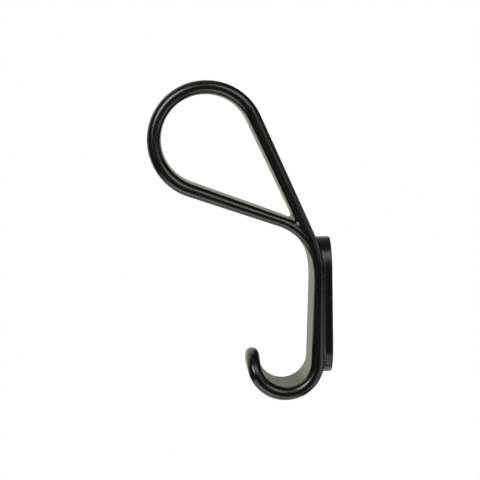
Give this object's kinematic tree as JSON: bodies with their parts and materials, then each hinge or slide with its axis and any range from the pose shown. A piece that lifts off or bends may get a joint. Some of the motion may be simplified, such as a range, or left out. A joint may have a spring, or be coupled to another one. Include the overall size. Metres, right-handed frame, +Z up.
{
  "type": "wall hook",
  "caption": "Double wall hook: a wide band bent into a closed teardrop loop above and an open rounded hook below, on a concealed bracket.",
  "frame": {"origin": "centre of the wall face, which is the back of the boss and of the bracket", "axes": "+X along the wall across the band, +Y into the wall (the hook stands out towards -Y), +Z up"},
  "size_m": [0.028, 0.0911, 0.1618],
  "materials": {
    "hook_coat": "satin black powder coat",
    "bracket_coat": "thin satin black coat",
    "oxide": "black oxide"
  },
  "bodies": {
    "bracket": {"wall_bracket": "bracket_coat"},
    "hook": {"hook_body": "hook_coat"},
    "set_screw": {"lock_screw": "oxide"}
  },
  "joints": [
    {"name": "hook_lift", "type": "slide", "parent": "bracket", "child": "hook", "axis": [0, 0, 1], "range_m": [0, 0.0105]},
    {"name": "lock_screw_out", "type": "slide", "parent": "hook", "child": "set_screw", "axis": [-1, 0, 0], "range_m": [0, 0.0015]}
  ]
}
